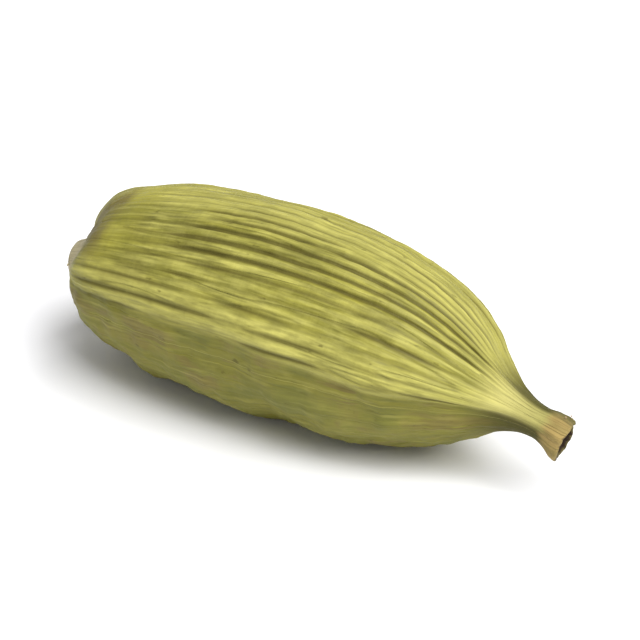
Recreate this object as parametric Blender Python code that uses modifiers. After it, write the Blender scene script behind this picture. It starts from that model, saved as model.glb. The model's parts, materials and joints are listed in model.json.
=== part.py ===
"""A dried green cardamom pod, lying on its side.

The pod is one solid, because its husk, beak and collar grew as one piece. A half outline is turned about the
pod's long axis, then its skin is moved by formula: three soft corners, bumps over the seeds, fine ribs from
end to end, a drooping beak, and a small flat spot on the belly that it rests on.
Units are metres, +X runs from the stalk end to the beak, and +Z is up.
"""

import math

import bmesh
import bpy
from mathutils import Vector

MM = 0.001

# Driving dimensions
POD_LENGTH = 19.8 * MM
BELLY_RADIUS = 3.80 * MM
SCAR_RADIUS = 0.68 * MM
SCAR_DEPTH = 0.55 * MM
COLLAR_RADIUS = 0.76 * MM
COLLAR_WIDTH = 0.85 * MM

# The stalk scar, from the bottom of its pit to the outside of its ring: shares of its depth and its radius
SCAR_OUTLINE = (
    (1.00, 0.00),
    (0.85, 0.37),
    (0.25, 0.50),
    (0.00, 0.75),
    (0.15, 1.00),
    (0.65, 1.25),
)

# The body, from the scar to the neck: shares of the pod's length and of the belly's radius
BODY_OUTLINE = (
    (0.016, 0.365),
    (0.036, 0.52),
    (0.070, 0.67),
    (0.135, 0.82),
    (0.240, 0.92),
    (0.370, 0.98),
    (0.500, 0.965),
    (0.610, 0.90),
    (0.700, 0.80),
    (0.780, 0.60),
    (0.845, 0.365),
    (0.890, 0.22),
)

# The collar, from the neck over the rim to the bottom of its cup: shares of its width, counted back from
# the tip, and of its radius
COLLAR_OUTLINE = (
    (1.40, 0.76),
    (0.75, 0.88),
    (0.25, 1.00),
    (0.00, 0.92),
    (0.22, 0.70),
    (0.75, 0.47),
    (0.88, 0.00),
)

# The pod's axis: highest over the belly, lower at both ends, and with the beak a little to one side
AXIS_HEIGHT = 3.69 * MM
AXIS_CREST = 0.41
BEAK_DROP = 1.10 * MM
BEAK_SIDESTEP = -0.50 * MM
STALK_DROP = 0.58 * MM

# The corners of the seed chambers, which stand out most round the stalk end
CORNERS = 3
CORNER_ANGLE = math.radians(15.0)
CORNER_SHARE = 0.042
LOBE_SHARE = 0.080

# Ribs: each has a narrow valley, and two points of the skin on its broad back
RIBS = 36
POINTS_PER_RIB = 3
RIB_DEPTH = 0.13 * MM
RIB_STRAY = 0.45
MEAN_RIB_STRENGTH = 0.62
SEED_BUMP = 0.09 * MM

# Slow waves over the skin: (waves along the pod, waves round it, phase, share)
STRAY_WAVES = ((0.9, 2, 0.7, 0.70), (2.3, -5, 2.1, 0.30))
STRENGTH_WAVES = ((0.0, 1, 0.26, 0.16), (1.1, 4, 1.3, 0.12), (1.7, -13, 0.4, 0.10))
SEED_WAVES = ((5.3, -2, 4.87, 0.30), (5.3, 2, 2.73, 0.30), (3.7, 3, 2.0, 0.40))

# Radii between which ribs, corners and bumps fade out towards both ends
PLAIN_RADIUS = 0.72 * MM
FULL_RADIUS = 2.00 * MM

OUTLINE_STEPS = 2
WELD = 0.001 * MM
HUSK_GREEN = (0.36, 0.34, 0.09, 1.0)
HUSK_ROUGHNESS = 0.62


def clear_scene():
    """Remove what the startup file holds."""
    for obj in list(bpy.data.objects):
        bpy.data.objects.remove(obj)


def half_outline():
    """The pod's half outline as (distance from the stalk end, radius), from the scar's pit to the collar's cup."""
    scar = [(depth * SCAR_DEPTH, share * SCAR_RADIUS) for depth, share in SCAR_OUTLINE]
    body = [(along * POD_LENGTH, share * BELLY_RADIUS) for along, share in BODY_OUTLINE]
    collar = [(POD_LENGTH - back * COLLAR_WIDTH, share * COLLAR_RADIUS) for back, share in COLLAR_OUTLINE]
    return scar + body + collar


def turned_mesh():
    """The half outline as a smooth curve, turned a full circle about the X axis."""
    curve = bpy.data.curves.new("pod_outline", "CURVE")
    curve.dimensions = "2D"
    curve.resolution_u = OUTLINE_STEPS
    spline = curve.splines.new("BEZIER")
    points = half_outline()
    spline.bezier_points.add(len(points) - 1)
    for knot, (along, radius) in zip(spline.bezier_points, points):
        knot.co = (along, radius, 0.0)
        knot.handle_left_type = knot.handle_right_type = "AUTO"
    outline = bpy.data.objects.new("pod_outline", curve)
    bpy.context.scene.collection.objects.link(outline)

    turn = outline.modifiers.new("turn", "SCREW")
    turn.axis = "X"
    turn.steps = turn.render_steps = RIBS * POINTS_PER_RIB
    turn.use_merge_vertices = False
    turn.use_normal_flip = True
    evaluated = outline.evaluated_get(bpy.context.evaluated_depsgraph_get())
    mesh = bpy.data.meshes.new_from_object(evaluated)
    mesh.name = "pod"
    bpy.data.objects.remove(outline)
    bpy.data.curves.remove(curve)
    return mesh


def smooth_step(value, low, high):
    """0 at low, 1 at high, and smooth in between."""
    share = min(1.0, max(0.0, (value - low) / (high - low)))
    return share * share * (3.0 - 2.0 * share)


def wave_sum(waves, along, around):
    """The sum of these waves at a share of the length and an angle round the pod."""
    return sum(
        share * math.sin(2.0 * math.pi * lengthwise * along + round_it * around + phase)
        for lengthwise, round_it, phase, share in waves
    )


def ribbed_section(point):
    """The (angle, radius) to which a point of the turned body moves within its own cross-section."""
    along = point.x / POD_LENGTH
    radius = math.hypot(point.y, point.z)
    angle = math.atan2(point.z, -point.y)
    fade = smooth_step(radius, PLAIN_RADIUS, FULL_RADIUS)

    near_stalk = max(0.0, 1.0 - along / AXIS_CREST)
    corner_share = CORNER_SHARE + LOBE_SHARE * near_stalk**2
    corner = corner_share * radius * math.cos(CORNERS * (angle - CORNER_ANGLE))
    bump = SEED_BUMP * wave_sum(SEED_WAVES, along, angle)

    in_valley = round(angle * RIBS * POINTS_PER_RIB / (2.0 * math.pi)) % POINTS_PER_RIB == 0
    strength = MEAN_RIB_STRENGTH + wave_sum(STRENGTH_WAVES, along, angle)
    valley = RIB_DEPTH * strength * min(1.0, radius / FULL_RADIUS) if in_valley else 0.0
    strayed = angle + RIB_STRAY * wave_sum(STRAY_WAVES, along, angle) * 2.0 * math.pi / RIBS
    return strayed, radius + fade * (corner + bump - valley)


def bent_point(distance, angle, radius):
    """A point of a cross-section placed on the drooping axis, no lower than the surface under the pod."""
    along = distance / POD_LENGTH
    near_beak = max(0.0, (along - AXIS_CREST) / (1.0 - AXIS_CREST))
    near_stalk = max(0.0, 1.0 - along / AXIS_CREST)
    height = AXIS_HEIGHT - BEAK_DROP * near_beak**2 - STALK_DROP * near_stalk**2
    axis = Vector((distance, BEAK_SIDESTEP * near_beak**2, height))

    beak_bend = 2.0 * near_beak / ((1.0 - AXIS_CREST) * POD_LENGTH)
    stalk_bend = 2.0 * near_stalk / (AXIS_CREST * POD_LENGTH)
    upright = Vector((BEAK_DROP * beak_bend - STALK_DROP * stalk_bend, 0.0, 1.0)).normalized()
    sideways = Vector((BEAK_SIDESTEP * beak_bend, -1.0, 0.0)).normalized()
    placed = axis + radius * (math.cos(angle) * sideways + math.sin(angle) * upright)
    placed.z = max(0.0, placed.z)
    return placed


def shape_skin(mesh):
    """Move every point of the turned body to its place on the pod's skin, and close the ends."""
    for vertex in mesh.vertices:
        angle, radius = ribbed_section(vertex.co)
        vertex.co = bent_point(vertex.co.x, angle, radius)
    skin = bmesh.new()
    skin.from_mesh(mesh)
    bmesh.ops.remove_doubles(skin, verts=skin.verts, dist=WELD)
    skin.to_mesh(mesh)
    skin.free()


def centre_over_origin(mesh):
    """Put the origin under the middle of the pod, on the surface that it rests on."""
    for axis in (0, 1):
        places = [vertex.co[axis] for vertex in mesh.vertices]
        middle = (min(places) + max(places)) / 2.0
        for vertex in mesh.vertices:
            vertex.co[axis] -= middle


def husk_material():
    """Dry, matt, yellow-green husk."""
    material = bpy.data.materials.new("dried_husk")
    material.use_nodes = True
    shader = material.node_tree.nodes["Principled BSDF"]
    shader.inputs["Base Color"].default_value = HUSK_GREEN
    shader.inputs["Roughness"].default_value = HUSK_ROUGHNESS
    shader.inputs["Metallic"].default_value = 0.0
    return material


def build_pod():
    """Make the pod as one named object in its own collection."""
    collection = bpy.data.collections.new("cardamom_pod")
    bpy.context.scene.collection.children.link(collection)
    mesh = turned_mesh()
    shape_skin(mesh)
    centre_over_origin(mesh)
    mesh.shade_smooth()
    mesh.materials.append(husk_material())
    pod = bpy.data.objects.new("pod", mesh)
    collection.objects.link(pod)


clear_scene()
build_pod()
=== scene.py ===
"""The looks of a dried green cardamom pod that lies on its side.

A Geometry Nodes tree grows the husk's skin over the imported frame, from the same half outline, corners, ribs
and bent axis as the solid, with creases, fibres and wrinkles that are too fine for it. A second tree sets the
torn fibres round the stalk scar and the shreds on the collar's rim.
Units are metres, +X runs from the stalk end to the beak, and +Z is up.
"""

import json
import logging
import math
from collections.abc import Mapping, Sequence
from dataclasses import dataclass
from enum import Enum
from typing import Any

import bpy
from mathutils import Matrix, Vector

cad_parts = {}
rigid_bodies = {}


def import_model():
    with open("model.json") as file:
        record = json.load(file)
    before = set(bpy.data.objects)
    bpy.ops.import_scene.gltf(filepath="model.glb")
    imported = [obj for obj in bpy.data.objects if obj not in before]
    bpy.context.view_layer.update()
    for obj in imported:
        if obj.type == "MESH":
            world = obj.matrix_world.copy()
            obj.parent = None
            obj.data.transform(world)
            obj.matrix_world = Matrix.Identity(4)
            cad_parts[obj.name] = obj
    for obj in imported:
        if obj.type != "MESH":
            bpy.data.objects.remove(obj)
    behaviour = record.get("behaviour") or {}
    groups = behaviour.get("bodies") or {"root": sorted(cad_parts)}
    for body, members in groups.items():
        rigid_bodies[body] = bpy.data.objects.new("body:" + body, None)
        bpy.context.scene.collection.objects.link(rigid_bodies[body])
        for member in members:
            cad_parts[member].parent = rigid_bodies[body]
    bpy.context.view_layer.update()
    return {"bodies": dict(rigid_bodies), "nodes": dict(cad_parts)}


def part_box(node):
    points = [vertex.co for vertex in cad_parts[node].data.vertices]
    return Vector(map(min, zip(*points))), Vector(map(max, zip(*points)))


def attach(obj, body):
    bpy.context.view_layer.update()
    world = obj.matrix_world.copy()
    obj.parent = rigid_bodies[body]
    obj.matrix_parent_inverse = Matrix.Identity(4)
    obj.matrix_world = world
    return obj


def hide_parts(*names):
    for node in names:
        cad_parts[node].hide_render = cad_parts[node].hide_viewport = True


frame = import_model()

LOG = logging.getLogger("cardamom_pod")
MM = 0.001

MATH = "ShaderNodeMath"
VECTOR = "ShaderNodeVectorMath"
MAP = "ShaderNodeMapRange"
MIX = "ShaderNodeMix"

Place = tuple[float, float, float]
Wave = tuple[float, int, float, float]
Link = Any


def linear(hex_code: str) -> tuple[float, float, float, float]:
    """Turn an sRGB hex colour into the linear RGBA that Blender's sockets take.

    Args:
        hex_code: the colour, such as "#A0B0C0".

    Returns:
        Red, green, blue and an alpha of 1.
    """
    channels = [int(hex_code[start : start + 2], 16) / 255.0 for start in (1, 3, 5)]
    red, green, blue = (c / 12.92 if c <= 0.04045 else ((c + 0.055) / 1.055) ** 2.4 for c in channels)
    return red, green, blue, 1.0


def add_node(
    tree: bpy.types.NodeTree, kind: str, inputs: Mapping[str, Link] | Sequence[Link] = (), **settings: Any
) -> bpy.types.Node:
    """Add a node to a tree, with its settings and its links.

    Args:
        tree: the tree that the node joins.
        kind: Blender's name for the kind of node, or in capitals the operation of a Math node.
        inputs: what its visible inputs take, by name or in order: a value, a socket, or a node, which gives
            its first visible output. None leaves an input as it is.
        settings: the node's own properties.

    Returns:
        The new node.
    """
    if kind.isupper():
        kind, settings["operation"] = MATH, kind
    node = tree.nodes.new(kind)
    for name, value in settings.items():
        setattr(node, name, value)
    visible = [socket for socket in node.inputs if socket.enabled]
    if isinstance(inputs, Mapping):
        pairs = [(next(s for s in visible if s.name == name), value) for name, value in inputs.items()]
    else:
        pairs = list(zip(visible, inputs))
    for socket, value in pairs:
        if isinstance(value, bpy.types.Node):
            value = next(output for output in value.outputs if output.enabled)
        if isinstance(value, bpy.types.NodeSocket):
            tree.links.new(value, socket)
        elif value is not None:
            socket.default_value = value
    return node


def add_waves(tree: bpy.types.NodeTree, waves: Sequence[Wave], place: Link) -> bpy.types.Node:
    """Add the nodes for a sum of slow sine waves over the skin.

    Args:
        tree: the tree that they join.
        waves: each as waves along the pod, waves round it, phase and share.
        place: the share of the length, the angle round the pod, and 1.

    Returns:
        The node that gives the sum.
    """
    total: Link = 0.0
    for lengthwise, round_it, phase, share in waves:
        turn = (math.tau * lengthwise, round_it, phase)
        turned = add_node(tree, VECTOR, (place, turn), operation="DOT_PRODUCT")
        wave = add_node(tree, "SINE", (turned,))
        total = add_node(tree, "MULTIPLY_ADD", (wave, share, total))
    return total


def add_grain(
    tree: bpy.types.NodeTree, grain: Link, along_mm: float, round_mm: float, seed: Link, detail: float = 2.0
) -> bpy.types.Node:
    """Add noise that is drawn out along the pod or round it.

    Args:
        tree: the tree that it joins.
        grain: the place on the skin, in millimetres.
        along_mm: the length of one grain along the pod, in millimetres.
        round_mm: its width round the pod, in millimetres.
        seed: which of the many patterns of this kind it is.
        detail: how many finer layers lie over it.

    Returns:
        The noise node, which gives about 0.25 to 0.75.
    """
    stretch = (1.0 / along_mm, 1.0 / round_mm, 1.0 / round_mm)
    stretched = add_node(tree, VECTOR, (grain, stretch), operation="MULTIPLY")
    noise = {"Vector": stretched, "W": seed, "Scale": 1.0, "Detail": detail}
    return add_node(tree, "ShaderNodeTexNoise", noise, noise_dimensions="4D")


def add_veins(
    tree: bpy.types.NodeTree, grain: Link, along_mm: float, round_mm: float, seed: Link, width: float
) -> bpy.types.Node:
    """Add thin lines that run along the grain, wander a little and meet.

    Args:
        tree: the tree that they join.
        grain: the place on the skin, in millimetres.
        along_mm: how far a line runs before it turns, in millimetres.
        round_mm: about how far apart the lines are, in millimetres.
        seed: which of the many patterns of this kind it is.
        width: how wide they are, as a share of the noise's range.

    Returns:
        The node that gives 1 on a line and 0 off it.
    """
    noise = add_grain(tree, grain, along_mm, round_mm, seed, 1.0)
    off = add_node(tree, "SUBTRACT", (noise, 0.5))
    off = add_node(tree, "ABSOLUTE", (off,))
    return add_fade(tree, off, width, 0.0)


def add_fade(tree: bpy.types.NodeTree, value: Link, none: float, full: float) -> bpy.types.Node:
    """Add a share that is 0 up to one value, 1 from the other on, and smooth in between."""
    return add_node(tree, MAP, (value, none, full, 0.0, 1.0), interpolation_type="SMOOTHSTEP")


def add_side(
    tree: bpy.types.NodeTree, angle: Link, middle: float, none: float, full: float
) -> bpy.types.Node:
    """Add a share that is 1 on one side of the pod and 0 away from it.

    Args:
        tree: the tree that it joins.
        angle: the angle round the pod.
        middle: the angle of the side's middle.
        none: the cosine of the angle off the middle from which the share is 0.
        full: the cosine of the angle off the middle up to which it is 1.

    Returns:
        The node that gives the share.
    """
    off = add_node(tree, "SUBTRACT", (angle, middle))
    off = add_node(tree, "COSINE", (off,))
    return add_fade(tree, off, none, full)


def add_shade(
    tree: bpy.types.NodeTree, colour: Link, noise: Link, darkest: float, lightest: float
) -> bpy.types.Node:
    """Darken and lighten a colour by noise.

    Args:
        tree: the material's tree.
        colour: the colour.
        noise: the noise, of which 0.3 darkens most and 0.7 lightens most.
        darkest: what the colour is multiplied by at 0.3.
        lightest: what it is multiplied by at 0.7.

    Returns:
        The node that gives the new colour.
    """
    shade = add_node(tree, MAP, (noise, 0.3, 0.7, darkest, lightest))
    shade = add_node(tree, "ShaderNodeCombineColor", (shade, shade, shade))
    return add_node(tree, MIX, (1.0, colour, shade), data_type="RGBA", blend_type="MULTIPLY")


def add_patches(tree: bpy.types.NodeTree, size: float, detail: float) -> bpy.types.Node:
    """Add noise in even patches.

    Args:
        tree: the material's tree.
        size: how large a patch is.
        detail: how many finer layers lie over it.

    Returns:
        The noise node.
    """
    place = add_node(tree, "ShaderNodeTexCoord").outputs["Object"]
    return add_node(tree, "ShaderNodeTexNoise", {"Vector": place, "Scale": 1.0 / size, "Detail": detail})


def new_material(name: str) -> tuple[bpy.types.Material, bpy.types.NodeTree, bpy.types.Node]:
    """Start a material.

    Args:
        name: the material's name.

    Returns:
        The material, its tree and its Principled BSDF.
    """
    material = bpy.data.materials.new(name)
    material.use_nodes = True
    tree = material.node_tree
    return material, tree, tree.nodes["Principled BSDF"]


def named_inputs(piece: Any, names: str) -> dict[str, float | int]:
    """Turn sizes that a piece holds into named inputs of its tree.

    Args:
        piece: the dataclass that holds them.
        names: the names of its fields, with spaces between them.

    Returns:
        The value of each named input, such as "Rib Turn" for the field rib_turn.
    """
    return {name.replace("_", " ").title(): getattr(piece, name) for name in names.split()}


def new_piece(name: str, mesh: bpy.types.Mesh) -> bpy.types.Object:
    """Make a finished mesh a piece of the pod that moves with it.

    Args:
        name: the piece's name.
        mesh: its mesh, already in its place in the frame.

    Returns:
        The piece's object, at the origin.
    """
    mesh.name = name
    piece = bpy.data.objects.new(name, mesh)
    bpy.context.scene.collection.objects.link(piece)
    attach(piece, "root")
    return piece


class PodEnd(Enum):
    """Which end of the pod a fringe grows at."""

    STALK = "stalk"
    BEAK = "beak"


@dataclass(frozen=True)
class PodForm:
    """The form that every piece of the pod follows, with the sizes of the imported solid.

    Outline points are shares: of the scar's depth and radius, of the pod's length and the belly's radius, and
    of the collar's width, counted back from the tip, and its radius.
    """

    length: float = 19.8 * MM
    belly_radius: float = 3.80 * MM
    scar_radius: float = 0.68 * MM
    scar_depth: float = 0.55 * MM
    collar_radius: float = 0.76 * MM
    collar_width: float = 0.85 * MM
    axis_crest: float = 0.41
    axis_height: float = 3.69 * MM
    beak_drop: float = 1.10 * MM
    beak_sidestep: float = -0.50 * MM
    stalk_drop: float = 0.58 * MM
    scar_outline: tuple[tuple[float, float], ...] = (
        (1.00, 0.00),
        (0.85, 0.37),
        (0.25, 0.50),
        (0.00, 0.75),
        (0.15, 1.00),
        (0.65, 1.25),
    )
    body_outline: tuple[tuple[float, float], ...] = (
        (0.016, 0.365),
        (0.036, 0.52),
        (0.070, 0.67),
        (0.135, 0.82),
        (0.240, 0.92),
        (0.370, 0.98),
        (0.500, 0.965),
        (0.610, 0.90),
        (0.700, 0.80),
        (0.780, 0.60),
        (0.845, 0.365),
        (0.890, 0.22),
    )
    collar_outline: tuple[tuple[float, float], ...] = (
        (1.40, 0.76),
        (0.75, 0.88),
        (0.25, 1.00),
        (0.00, 0.92),
        (0.22, 0.70),
        (0.75, 0.47),
        (0.88, 0.00),
    )

    def outline_points(self) -> list[tuple[float, float]]:
        """Work out the half outline, from the scar's pit to the collar's cup.

        Returns:
            Its knots, each as a distance from the stalk end and a radius.
        """
        scar = [(depth * self.scar_depth, share * self.scar_radius) for depth, share in self.scar_outline]
        body = [(along * self.length, share * self.belly_radius) for along, share in self.body_outline]
        collar = [
            (self.length - back * self.collar_width, share * self.collar_radius)
            for back, share in self.collar_outline
        ]
        return scar + body + collar

    def outline_curve(self) -> bpy.types.Object:
        """Make one smooth Bezier curve of the half outline.

        Returns:
            The curve's object, with X along the pod and Y for the radius.
        """
        curve = bpy.data.curves.new("half_outline", "CURVE")
        curve.dimensions = "2D"
        spline = curve.splines.new("BEZIER")
        points = self.outline_points()
        spline.bezier_points.add(len(points) - 1)
        for knot, (along, radius) in zip(spline.bezier_points, points):
            knot.co = (along, radius, 0.0)
            knot.handle_left_type = knot.handle_right_type = "AUTO"
        outline = bpy.data.objects.new("half_outline", curve)
        bpy.context.scene.collection.objects.link(outline)
        return outline

    def outline_share(self, knot: float) -> float:
        """How far along the half outline a knot lies, from 0 to 1.

        Args:
            knot: the knot's number in outline_points, which may count from the end, or a place between two.

        Returns:
            The share of the outline's length, measured straight from knot to knot.
        """
        points = [Vector(point) for point in self.outline_points()]
        steps = [(after - before).length for before, after in zip(points, points[1:])]
        whole, part = divmod(knot % len(points), 1.0)
        last = min(int(whole), len(steps) - 1)
        return (sum(steps[: int(whole)]) + part * steps[last]) / sum(steps)

    def axis_sizes(self) -> dict[str, float]:
        """The named inputs that bend a straight pod over its axis."""
        bends = "axis_crest axis_height beak_drop beak_sidestep stalk_drop"
        return {"Pod Length": self.length, **named_inputs(self, bends)}


class GeometryTree:
    """A Geometry Nodes tree with named inputs, which ends as one plain mesh."""

    SOCKET_KINDS = {float: "NodeSocketFloat", int: "NodeSocketInt", bpy.types.Material: "NodeSocketMaterial"}

    def __init__(self, name: str, sizes: Mapping[str, float | int | bpy.types.Material]) -> None:
        """Start a tree.

        Args:
            name: the tree's name.
            sizes: the value of each named input.
        """
        self.tree = bpy.data.node_groups.new(name, "GeometryNodeTree")
        self.sizes = dict(sizes)
        sockets = self.tree.interface
        sockets.new_socket("Geometry", in_out="OUTPUT", socket_type="NodeSocketGeometry")
        sockets.new_socket("Geometry", in_out="INPUT", socket_type="NodeSocketGeometry")
        for label, value in self.sizes.items():
            sockets.new_socket(label, in_out="INPUT", socket_type=self.SOCKET_KINDS[type(value)])
        self.given = self.add("NodeGroupInput").outputs

    def add(
        self, kind: str, inputs: Mapping[str, Link] | Sequence[Link] = (), **settings: Any
    ) -> bpy.types.Node:
        """Add a node to this tree, as add_node does."""
        return add_node(self.tree, kind, inputs, **settings)

    def round_the_axis(self, distance: Link, angle: Link, radius: Link) -> bpy.types.Node:
        """Place a point of the straight pod.

        Args:
            distance: how far it is from the stalk end.
            angle: the angle round the pod.
            radius: how far it is from the axis.

        Returns:
            The node that gives the point.
        """
        cosine = self.add("COSINE", (angle,))
        sine = self.add("SINE", (angle,))
        across = self.add("MULTIPLY", (radius, cosine))
        across = self.add("MULTIPLY", (across, -1.0))
        up = self.add("MULTIPLY", (radius, sine))
        return self.add("ShaderNodeCombineXYZ", (distance, across, up))

    def close(self, geometry: Link) -> None:
        """Link the tree's result to its output."""
        self.add("NodeGroupOutput", (geometry,))

    def close_piece(self, geometry: Link, form: PodForm, bend: bpy.types.NodeTree) -> None:
        """End the tree of a finished piece, which becomes real geometry, smooth and in its finish.

        Args:
            geometry: the piece, still on the straight pod.
            form: the pod's form.
            bend: the node group that bends it over the pod's axis.
        """
        axis = {name: self.given[name] for name in form.axis_sizes()}
        bent = self.add("GeometryNodeGroup", {"Geometry": geometry, **axis}, node_tree=bend)
        real = self.add("GeometryNodeRealizeInstances", (bent,))
        smooth = self.add("GeometryNodeSetShadeSmooth", (real,))
        dressed = {"Geometry": smooth, "Material": self.given["Finish"]}
        self.close(self.add("GeometryNodeSetMaterial", dressed))

    def mesh_from(self, start: bpy.types.Object) -> bpy.types.Mesh:
        """Run the tree on an object.

        Args:
            start: the object whose geometry the tree starts from. It is removed.

        Returns:
            The result as a plain mesh.
        """
        modifier = start.modifiers.new(self.tree.name, "NODES")
        modifier.node_group = self.tree
        for socket in self.tree.interface.items_tree:
            if socket.in_out == "INPUT" and socket.name in self.sizes:
                modifier[socket.identifier] = self.sizes[socket.name]
        evaluated = start.evaluated_get(bpy.context.evaluated_depsgraph_get())
        mesh = bpy.data.meshes.new_from_object(evaluated)
        start.modifiers.remove(modifier)
        bpy.data.objects.remove(start)
        return mesh


def bend_over_axis(form: PodForm) -> bpy.types.NodeTree:
    """Make the node group that bends a straight pod over its drooping axis.

    The straight pod has X along it and its cross-sections round the X axis. The bent one rests on its belly,
    and what would be under the floor is pressed flat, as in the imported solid.

    Args:
        form: the pod's form, whose sizes name the group's inputs.

    Returns:
        The node group.
    """
    group = GeometryTree("bend_over_axis", form.axis_sizes())
    given = group.given
    straight = group.add("ShaderNodeSeparateXYZ", (group.add("GeometryNodeInputPosition"),))
    distance, across, up = straight.outputs
    along = group.add("DIVIDE", (distance, given["Pod Length"]))
    near_beak = group.add(MAP, (along, given["Axis Crest"], 1.0, 0.0, 1.0))
    near_stalk = group.add(MAP, (along, given["Axis Crest"], 0.0, 0.0, 1.0))
    beak_share = group.add("MULTIPLY", (near_beak, near_beak))
    stalk_share = group.add("MULTIPLY", (near_stalk, near_stalk))

    dropped = group.add("MULTIPLY", (beak_share, given["Beak Drop"]))
    dropped = group.add("MULTIPLY_ADD", (stalk_share, given["Stalk Drop"], dropped))
    height = group.add("SUBTRACT", (given["Axis Height"], dropped))
    sidestep = group.add("MULTIPLY", (beak_share, given["Beak Sidestep"]))
    axis = group.add("ShaderNodeCombineXYZ", (distance, sidestep, height))

    stalk_length = group.add("MULTIPLY", (given["Axis Crest"], given["Pod Length"]))
    beak_length = group.add("SUBTRACT", (given["Pod Length"], stalk_length))
    twice_beak = group.add("ADD", (near_beak, near_beak))
    twice_stalk = group.add("ADD", (near_stalk, near_stalk))
    beak_bend = group.add("DIVIDE", (twice_beak, beak_length))
    stalk_bend = group.add("DIVIDE", (twice_stalk, stalk_length))
    beak_slope = group.add("MULTIPLY", (beak_bend, given["Beak Drop"]))
    stalk_slope = group.add("MULTIPLY", (stalk_bend, given["Stalk Drop"]))
    side_slope = group.add("MULTIPLY", (beak_bend, given["Beak Sidestep"]))
    slope = group.add("SUBTRACT", (beak_slope, stalk_slope))

    upright = group.add("ShaderNodeCombineXYZ", (slope, 0.0, 1.0))
    upright = group.add(VECTOR, (upright,), operation="NORMALIZE")
    sideways = group.add("ShaderNodeCombineXYZ", (side_slope, -1.0, 0.0))
    sideways = group.add(VECTOR, (sideways,), operation="NORMALIZE")
    aside = group.add("MULTIPLY", (across, -1.0))
    placed = group.add(VECTOR, (sideways, aside), operation="SCALE")
    placed = group.add(VECTOR, (placed, axis), operation="ADD")
    raised = group.add(VECTOR, (upright, up), operation="SCALE")
    placed = group.add(VECTOR, (placed, raised), operation="ADD")
    rested = group.add(VECTOR, (placed, (-1.0, -1.0, 0.0)), operation="MAXIMUM")
    group.close(group.add("GeometryNodeSetPosition", {"Geometry": given["Geometry"], "Position": rested}))
    return group.tree


@dataclass(frozen=True)
class Seat:
    """Where the bent pod sits in the frame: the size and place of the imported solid."""

    scale: Vector
    shift: Vector

    @classmethod
    def under(cls, skin: bpy.types.Mesh, node: str) -> "Seat":
        """Find the seat that sets the skin where a CAD node is, at the stalk end and from side to side.

        Args:
            skin: the husk's skin, as its tree gives it.
            node: the CAD node that it replaces.

        Returns:
            The seat, which makes the skin a little smaller along each axis on which it would leave the box.
        """
        corners = [vertex.co for vertex in skin.vertices]
        low = Vector(min(corner[axis] for corner in corners) for axis in range(3))
        high = Vector(max(corner[axis] for corner in corners) for axis in range(3))
        box_low, box_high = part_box(node)
        scale = Vector(min(1.0, (box_high - box_low)[axis] / (high - low)[axis]) for axis in range(3))
        middle = (box_low.y + box_high.y - scale.y * (low.y + high.y)) / 2.0
        return cls(scale, Vector((box_low.x - scale.x * low.x, middle, box_low.z)))

    def apply(self, mesh: bpy.types.Mesh) -> None:
        """Move a mesh that its tree gave in the pod's own place into the frame."""
        for vertex in mesh.vertices:
            vertex.co = vertex.co * self.scale + self.shift


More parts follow.
